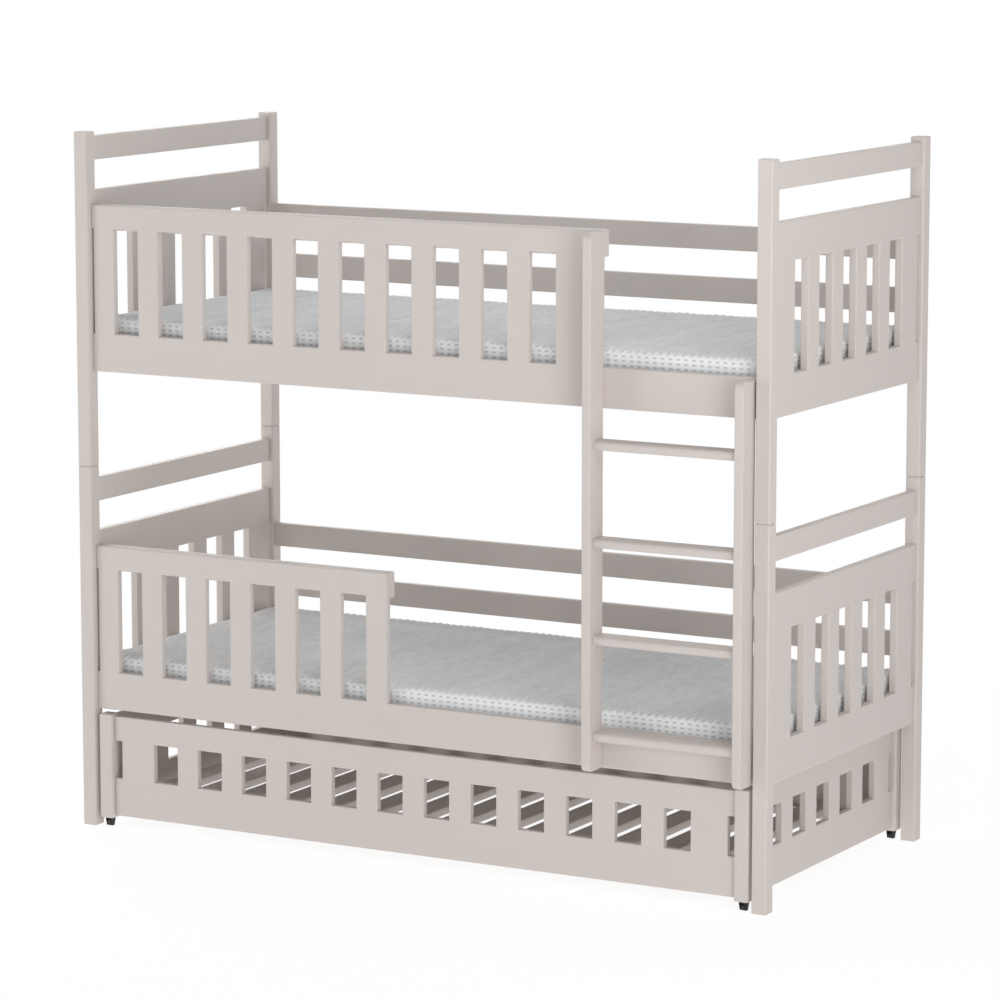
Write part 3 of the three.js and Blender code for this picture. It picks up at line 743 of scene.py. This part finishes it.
@dataclass
class Mattress:
    """A foam mattress in a dimpled knit cover, in the room of its CAD solid.

    The cover is blown up a little by a cloth simulation on a coarse grid, and the swell is laid over a fine grid that
    has the dimples, ribs, puffs and folds. Lengths are in metres, and rows and lobes in rows of cells.
    """

    node: str
    knit: DimpledKnit
    turned_round: bool
    corner: float = 0.034
    edge: float = 0.012
    waist: float = 0.0022
    spare: float = 0.0015
    crown: float = 0.0025
    fine: int = 4
    row_share: float = 0.75
    rings_per_cell: int = 3
    border_dimple: float = 0.0017
    dimple_spread: float = 1.3
    plain_rows: tuple[float, float] = (0.9, 0.95)
    rib_height: float = 0.0004
    rib_swell: tuple[float, float, float] = (0.62, 0.22, 0.16)
    top_start: float = 0.2
    top_lobe: float = 1.2
    top_step: float = 0.5
    # Rows near the rim where the top's painted shade is weaker, so the top is painted lighter there; the ribs are lower
    # there too
    rows_painted_lighter: int = 13
    shade_share_at_rim: float = 0.8
    shade_share_rise: float = 0.25
    puff_height: float = 0.0030
    puff_valley: float = 0.0016
    puff_reach: float = 0.010
    puff_uneven: float = 0.15
    pressure: float = 4.0
    cloth_quality: int = 4
    swell_cap: float = 0.004
    frames: int = 20
    creases: tuple[Crease, ...] = (
        Crease((-0.62, -0.22), 0.25, 0.14, 0.010, 0.0011),
        Crease((-0.31, 0.18), -0.35, 0.20, 0.012, 0.0009),
        Crease((0.05, -0.30), 0.10, 0.16, 0.009, 0.0012),
        Crease((0.34, 0.05), 0.45, 0.22, 0.013, 0.0008),
        Crease((0.55, -0.33), -0.05, 0.13, 0.009, 0.0012),
        Crease((0.74, 0.14), 1.10, 0.15, 0.011, 0.0009),
        Crease((-0.80, 0.05), 1.30, 0.16, 0.011, 0.0009),
    )

    def __post_init__(self) -> None:
        """Read the room that the CAD solid holds, and count the cover's cells."""
        low, high = (np.array(corner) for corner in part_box(self.node))
        self.foot = np.array([*((low + high) / 2)[:2], low[2]])
        self.half = (high - low)[:2] / 2 - self.spare - self.edge
        self.height = float(high[2] - low[2]) - self.crown
        cells = np.round(2 * self.half / np.array(self.knit.cell)).astype(int)
        self.cells = (int(cells[0]), int(cells[1] / 4) * 4)

    def shell(self, fine: int) -> Shell:
        """The skin with a given number of columns to a cell.

        Args:
            fine: columns to a cell; rows go with them.

        Returns:
            The skin's grid.
        """
        border_length = self.height - 2 * self.edge + math.pi * self.edge
        rings = round(border_length / self.knit.cell[1] * self.rings_per_cell * fine / self.fine)
        return Shell(self.half, self.corner - self.edge, self.edge, self.height, self.waist,
                     self.cells[0] * fine, round(self.cells[1] * fine * self.row_share), rings)

    def swell(self) -> tuple[np.ndarray, np.ndarray]:
        """Blow the cover up as cloth, held at its lowest ring, and read how far each point has moved.

        Returns:
            The moves of the coarse sheet and of its rings with the rim first, each no longer than the cap.
        """
        coarse = self.shell(1)
        points = coarse.points()
        body = mesh_piece("cover_blown_up", points, np.concatenate(coarse.faces()))
        held = body.vertex_groups.new(name="held")
        rim_count = len(coarse.rim())
        held.add(list(range(len(points) - 1 - rim_count, len(points))), 1.0, "REPLACE")
        cloth = body.modifiers.new("cloth", "CLOTH")
        cloth.settings.vertex_group_mass = "held"
        cloth.settings.use_pressure = True
        cloth.settings.uniform_pressure_force = self.pressure
        cloth.settings.effector_weights.gravity = 0.0
        cloth.settings.quality = self.cloth_quality
        cloth.point_cache.frame_end = self.frames
        scene = bpy.context.scene
        for step in range(1, self.frames + 1):
            scene.frame_set(step)
        seen = body.evaluated_get(bpy.context.evaluated_depsgraph_get())
        moved = np.empty(len(points) * 3, np.float32)
        seen.data.vertices.foreach_get("co", moved)
        scene.frame_set(1)
        bpy.data.objects.remove(body)
        move = moved.reshape(-1, 3) - points
        length = np.linalg.norm(move, axis=1, keepdims=True) + 1e-9
        move *= self.swell_cap * np.tanh(length / self.swell_cap) / length
        sheet = move[:(coarse.columns + 1) * (coarse.rows + 1)]
        rings = move[len(sheet):-1].reshape(coarse.rings, rim_count, 3)
        rings = np.concatenate([sheet[coarse.rim()][None], rings])
        return sheet.reshape(coarse.columns + 1, coarse.rows + 1, 3), rings

    def stretch(self, field: np.ndarray, rows: int, columns: int, closed: bool) -> np.ndarray:
        """Read a coarse grid of moves at the points of a finer one, in a straight line between its points.

        Args:
            field: the coarse grid.
            rows: points of the finer grid along the first axis.
            columns: points along the second.
            closed: whether the second axis runs round and meets its start.

        Returns:
            The finer grid.
        """
        if closed:
            field = np.concatenate([field, field[:, :1]], axis=1)
            columns += 1
        for axis, count in ((0, rows), (1, columns)):
            at = np.linspace(0, field.shape[axis] - 1, count)
            low = np.minimum(at.astype(int), field.shape[axis] - 2)
            share = (at - low).reshape([-1 if k == axis else 1 for k in range(3)])
            field = np.take(field, low, axis) * (1 - share) + np.take(field, low + 1, axis) * share
        return field[:, :-1] if closed else field

    def dimples(self, across: np.ndarray, up: np.ndarray) -> np.ndarray:
        """How far the dimples sink: a bell of the distance from the cell's middle, from 1 there to 0 at its rim."""
        off = np.stack(np.broadcast_arrays(across, up), axis=-1) % 1 - 0.5
        return np.exp(-((off / (np.array(self.knit.dimple_share) * self.dimple_spread)) ** 2).sum(axis=-1))

    def ribs(self, across: np.ndarray, up: np.ndarray) -> np.ndarray:
        """How far the cloth sinks between its ribs: 1/2 − cos(2πu)/2, with a slow swell of sines along and across.

        Args:
            across: cells across the sheet.
            up: cells up the sheet.

        Returns:
            The drop, from 0 to 1.
        """
        level, slow, quick = self.rib_swell
        swell = level + slow * np.sin(0.21 * up + 1.7 * np.sin(0.13 * across))
        swell += quick * np.sin(0.47 * across + 0.05 * up)
        return (0.5 - 0.5 * np.cos(2 * math.pi * across)) * swell

    def puffs(self, around: np.ndarray, away: np.ndarray) -> np.ndarray:
        """How far the cloth stands up in the row of puffs along the rim.

        Args:
            around: cells round the rim.
            away: metres from the rim, over the sheet or down the border.

        Returns:
            The lift: a lobe |sin(πu)| over each cell, a little uneven from cell to cell, and a valley between two, both
            times a bell of the way to the rim.
        """
        lobe = np.abs(np.sin(math.pi * around))
        uneven = 1 - self.puff_uneven + self.puff_uneven * np.sin(0.9 * around + 2.0 * np.sin(0.23 * around))
        height = (self.puff_height + self.puff_valley) * lobe * uneven - self.puff_valley
        return height * np.exp(-((away / self.puff_reach) ** 2))

    def rim_painted_shade(self, around: np.ndarray, away: np.ndarray) -> np.ndarray:
        """How much painted shade lies between two puffs: (1 − |sin(πu)|)² times a bell of the way to the rim.

        Args:
            around: cells round the rim.
            away: metres from the rim, over the sheet or down the border.

        Returns:
            The share of the colour of the painted shade.
        """
        between = (1 - np.abs(np.sin(math.pi * around))) ** 2
        return between * np.exp(-((away / self.puff_reach) ** 2))

    def on_top(self, from_rim: np.ndarray, beside: np.ndarray) -> np.ndarray:
        """How far the sheet has the top's ribs and their painted shade, which begin behind the puffs and are weaker
        near them.

        Args:
            from_rim: rows of cells from the rim.
            beside: cells round the rim, at its nearest point.

        Returns:
            The share: a step behind each puff's lobe |sin(πu)|, times a slow rise over the rows painted lighter near
                the rim.
        """
        behind = from_rim - self.top_start - self.top_lobe * np.abs(np.sin(math.pi * beside))
        rise = self.shade_share_at_rim + self.shade_share_rise * np.clip(from_rim / self.rows_painted_lighter, 0, 1)
        return np.clip(behind / self.top_step, 0, 1) * rise

    def blown_up(self, shell: Shell) -> np.ndarray:
        """The cloth simulation's swell, laid over the fine grid.

        Args:
            shell: the fine grid.

        Returns:
            The move of each point of the skin.
        """
        sheet_move, ring_move = self.swell()
        sheet = self.stretch(sheet_move, shell.columns + 1, shell.rows + 1, False).reshape(-1, 3)
        rings = self.stretch(ring_move, shell.rings + 1, len(shell.rim()), True)[1:].reshape(-1, 3)
        return np.concatenate([sheet, rings, np.zeros((1, 3))])

    def build(self) -> bpy.types.Object:
        """Returns:
            The finished piece.
        """
        shell = self.shell(self.fine)
        flat = shell.sheet()
        share = np.abs(flat) / self.half
        crown = self.crown * (1 - share[..., 0] ** 4) * (1 - share[..., 1] ** 4)
        across, up = np.meshgrid(
            np.linspace(0, self.cells[0], shell.columns + 1),
            np.linspace(0, self.cells[1], shell.rows + 1),
            indexing="ij",
        )
        around = shell.around() / self.knit.cell[0]
        down = shell.profile()[:, 2] / self.knit.cell[1]
        beside = shell.nearest_on_rim(around)
        from_rim = (self.half - np.abs(flat)).min(axis=-1) / self.knit.cell[1]
        on_rings, below = np.meshgrid(around[:-1], down[1:])

        # The row of puffs along the rim has no dimples
        sheet_depth = self.knit.top_depth * np.clip(from_rim - self.plain_rows[0], 0, 1)
        ring_depth = np.clip((below - self.plain_rows[1]) / 0.2, 0, 1)
        # Share of the top's painted shade and rib height, lower near the rim, where the top is painted lighter
        top = self.on_top(from_rim, beside)
        sunk = self.dimples(across, up) * sheet_depth * self.border_dimple
        sunk += self.ribs(across, up) * top * self.rib_height
        sunk += sum(crease.sink(flat) for crease in self.creases) * np.clip(from_rim / 0.5, 0, 1)
        sunk -= self.puffs(beside, from_rim * self.knit.cell[1])
        inward = self.dimples(on_rings, below) * ring_depth * self.border_dimple
        points = shell.points(sunk - crown, inward, self.puffs(on_rings, below * self.knit.cell[1]))
        points += self.blown_up(shell)
        if self.turned_round:
            points[:, :2] *= -1
        points += self.foot

        faces = shell.faces()
        piece = mesh_piece(f"{self.node}_cover", points, np.concatenate(faces))
        self.lay_chart(piece, shell, faces, np.stack([across, up], axis=-1), around, down)
        # Painted shade between the rim's puffs, which the finish reads as "crease"
        sheet_painted_shade = self.rim_painted_shade(beside, from_rim * self.knit.cell[1])
        ring_painted_shade = self.rim_painted_shade(on_rings, below * self.knit.cell[1])
        self.store(piece, "depth", sheet_depth, ring_depth)
        self.store(piece, "top", top, np.zeros_like(ring_depth))
        self.store(piece, "crease", sheet_painted_shade, ring_painted_shade)
        piece.data.materials.append(self.knit.material())
        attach(piece, "bed")
        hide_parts(self.node)
        return piece

    def store(self, piece: bpy.types.Object, name: str, on_sheet: np.ndarray, on_rings: np.ndarray) -> None:
        """Write a number for each point into the mesh, for the finish to read.

        Args:
            piece: the mattress.
            name: the attribute's name.
            on_sheet: the sheet's values.
            on_rings: the rings' values.
        """
        layer = piece.data.attributes.new(name, "FLOAT", "POINT")
        values = np.concatenate([on_sheet.ravel(), on_rings.ravel(), np.zeros(1)])
        layer.data.foreach_set("value", values.astype(np.float32))

    def lay_chart(self, piece: bpy.types.Object, shell: Shell, faces: tuple[np.ndarray, np.ndarray, np.ndarray],
                  sheet_chart: np.ndarray, around: np.ndarray, down: np.ndarray) -> None:
        """Lay the cloth's own map on the faces, in cells: across and up on the sheet, round and down on the border.

        Args:
            piece: the mattress.
            shell: its grid.
            faces: the faces of sheet, border and underside.
            sheet_chart: the sheet's map, columns by rows by two.
            around: cells round the rim up to each of its points, and the whole round last.
            down: cells down the border at each ring.
        """
        sheet, border, under = faces
        flat_chart = sheet_chart.reshape(-1, 2)
        chart = np.zeros((len(sheet) + len(border) + len(under), 4, 2))
        chart[:len(sheet)] = flat_chart[sheet]
        band = chart[len(sheet):len(sheet) + len(border)].reshape(shell.rings, -1, 4, 2)
        band[..., :2, 0] = around[None, :-1, None]
        band[..., 2:, 0] = around[None, 1:, None]
        band[..., [0, 3], 1] = down[:-1, None, None]
        band[..., [1, 2], 1] = down[1:, None, None]
        layer = piece.data.uv_layers.new(name="cloth")
        layer.data.foreach_set("uv", chart.astype(np.float32).ravel())


@dataclass
class Woodwork:
    """Every wooden node of the frame, dressed by the way its grain runs."""

    lacquer: Lacquer
    thin_coat: Lacquer
    pins: BareBeech

    def grain_of(self, node: str) -> Grain:
        """The way a node's grain runs.

        Args:
            node: the node's name.

        Returns:
            Along Z on posts and stringers, along Y on ends and slats, and along X on the rest.
        """
        if "post" in node or "stringer" in node:
            return Grain.ALONG_Z
        if "_end_" in node or "side_panel" in node or "slat_base" in node:
            return Grain.ALONG_Y
        return Grain.ALONG_X

    def dress(self, nodes: dict[str, bpy.types.Object]) -> None:
        """Give each wooden node its finish.

        Args:
            nodes: the CAD nodes by name.
        """
        coats = {grain: self.lacquer.material(grain) for grain in Grain}
        slats = self.thin_coat.material(Grain.ALONG_Y)
        beech = self.pins.material()
        wooden = {name: node for name, node in nodes.items() if "castor" not in name and "mattress" not in name}
        for name, node in wooden.items():
            finish = coats[self.grain_of(name)]
            if "dowel" in name:
                finish = beech
            if "slat_base" in name:
                finish = slats
            node.data.materials.clear()
            node.data.materials.append(finish)
        log.info("woodwork: %d nodes dressed", len(wooden))


@dataclass
class Castors:
    """The four castors under the trundle's posts."""

    plastic: CastorPlastic

    def dress(self, nodes: dict[str, bpy.types.Object]) -> None:
        """Give housings and wheels their finish.

        Args:
            nodes: the CAD nodes by name.
        """
        black = self.plastic.material()
        castor_nodes = [node for name, node in nodes.items() if "castor" in name]
        for node in castor_nodes:
            node.data.materials.clear()
            node.data.materials.append(black)
        log.info("castors: %d nodes dressed", len(castor_nodes))


@dataclass(frozen=True)
class Lamp:
    """A large soft lamp: where it stands, what it faces, how wide and high it is, and how bright."""

    name: str
    stand: tuple[float, float, float]
    target: tuple[float, float, float]
    size: tuple[float, float]
    power: float

    def build(self) -> None:
        """Put the lamp up."""
        light = bpy.data.lights.new(self.name, "AREA")
        light.shape = "RECTANGLE"
        light.size, light.size_y = self.size
        light.energy = self.power
        lamp = bpy.data.objects.new(self.name, light)
        bpy.context.scene.collection.objects.link(lamp)
        lamp.location = self.stand
        aim = np.array(self.target) - np.array(self.stand)
        flat = math.hypot(aim[0], aim[1])
        lamp.rotation_euler = (math.atan2(flat, -aim[2]), 0.0, math.atan2(-aim[0], aim[1]))


@dataclass
class Studio:
    """A pale floor, a white surround, soft lamps and the photograph's camera."""

    dome: float = 0.15
    camera_place: tuple[float, float, float] = (5.0630, -8.9956, 2.4305)
    camera_azimuth: float = 29.290
    camera_pitch: float = 8.808
    focal_pixels: float = 4292.5
    frame_pixels: float = 1000.0
    sensor: float = 36.0
    floor_half: float = 60.0
    floor_colour: Colour = (0.6, 0.6, 0.6, 1.0)
    floor_glow: float = 0.63
    shadow_share: float = 0.3
    shadow_reach: tuple[float, float] = (1.1, 2.6)
    lamps: tuple[Lamp, ...] = (
        Lamp("front_right", (3.94, -3.07, 1.11), BED_MIDDLE, (1.8, 1.8), 63.0),
        Lamp("front_left", (-3.82, -3.20, 1.29), BED_MIDDLE, (2.2, 2.2), 56.0),
        Lamp("above_right", (1.8, -1.5, 3.2), BED_MIDDLE, (2.5, 2.0), 25.5),
        Lamp("above_left", (-1.8, 0.3, 3.2), BED_MIDDLE, (2.0, 2.0), 20.0),
        Lamp("above_rear", (0.0, 1.4, 3.3), BED_MIDDLE, (3.0, 2.0), 6.0),
        Lamp("rear_high", (0.0, 3.0, 2.4), BED_MIDDLE, (4.0, 1.5), 16.0),
        Lamp("rear_left", (-2.6, 2.0, 1.6), BED_MIDDLE, (2.0, 1.5), 27.5),
    )

    def build(self) -> None:
        """Set the view, and put up camera, floor, surround and lamps."""
        bpy.context.scene.view_settings.view_transform = "Standard"
        self.camera()
        self.floor()
        self.surround()
        for lamp in self.lamps:
            lamp.build()

    def camera(self) -> None:
        """The photograph's viewpoint: right of the bed, a little above its top, with a long lens."""
        data = bpy.data.cameras.new("camera")
        data.sensor_width = self.sensor
        data.lens = self.focal_pixels / self.frame_pixels * self.sensor
        data.clip_end = 4 * self.floor_half
        camera = bpy.data.objects.new("camera", data)
        bpy.context.scene.collection.objects.link(camera)
        camera.location = self.camera_place
        camera.rotation_euler = (math.radians(90 - self.camera_pitch), 0.0, math.radians(self.camera_azimuth))
        bpy.context.scene.camera = camera

    def floor(self) -> None:
        """A level floor, wide enough to fill the frame in every view."""
        half = self.floor_half
        points = np.array([[-half, -half, 0], [half, -half, 0], [half, half, 0], [-half, half, 0]], float)
        floor = mesh_piece("studio_floor", points, np.array([[0, 1, 2, 3]]), smooth=False)
        floor.data.materials.append(self.floor_paint())

    def floor_paint(self) -> bpy.types.Material:
        """A floor that lights the bed from below, as a white cove does, and is white to the eye but for its shadow.

        Returns:
            The material.
        """
        recipe = Recipe(bpy.data.materials.new("studio_floor"))
        painted = recipe.node("ShaderNodeBsdfDiffuse")
        recipe.feed(painted.inputs["Color"], self.floor_colour)
        glow = recipe.node("ShaderNodeEmission")
        recipe.feed(glow.inputs["Strength"], self.floor_glow)
        lit = recipe.node("ShaderNodeAddShader")
        recipe.feed(lit.inputs[0], painted.outputs[0])
        recipe.feed(lit.inputs[1], glow.outputs[0])
        white = recipe.node("ShaderNodeEmission").outputs[0]
        away = recipe.node("ShaderNodeVectorMath", operation="LENGTH")
        recipe.feed(away.inputs[0], recipe.point())
        plain = recipe.span(away.outputs["Value"], 1 - self.shadow_share, 1.0, *self.shadow_reach)
        surface = recipe.blend(recipe.math("MULTIPLY", recipe.seen_directly(), plain), lit.outputs[0], white)
        recipe.feed(recipe.node("ShaderNodeOutputMaterial").inputs["Surface"], surface)
        return recipe.owner

    def surround(self) -> None:
        """A surround that is white to the eye and lights the bed softly from all round."""
        recipe = Recipe(bpy.data.worlds.new("studio"))
        soft, white = (recipe.node("ShaderNodeBackground") for _ in range(2))
        recipe.feed(soft.inputs["Color"], WHITE)
        recipe.feed(soft.inputs["Strength"], self.dome)
        recipe.feed(white.inputs["Color"], WHITE)
        sky = recipe.blend(recipe.seen_directly(), soft.outputs[0], white.outputs[0])
        recipe.feed(recipe.node("ShaderNodeOutputWorld").inputs["Surface"], sky)
        bpy.context.scene.world = recipe.owner


def main() -> None:
    """Build the studio, dress the frame and make the soft pieces, in order."""
    logging.basicConfig(level=logging.INFO, format="%(message)s")
    nodes = frame["nodes"]
    Studio().build()
    lacquer = Lacquer("satin_lacquer", linear(211, 203, 198))
    thin_coat = Lacquer("thin_lacquer", linear(205, 197, 192), roughness=0.6, grain_depth=0.0003, grain_share=0.05)
    Woodwork(lacquer, thin_coat, BareBeech()).dress(nodes)
    Castors(CastorPlastic()).dress(nodes)
    for bunk in ("lower", "upper"):
        mattress = Mattress(f"{bunk}_mattress", DimpledKnit(), turned_round=bunk == "upper").build()
        log.info("%s: %d faces", mattress.name, len(mattress.data.polygons))


if __name__ == "__main__":
    main()
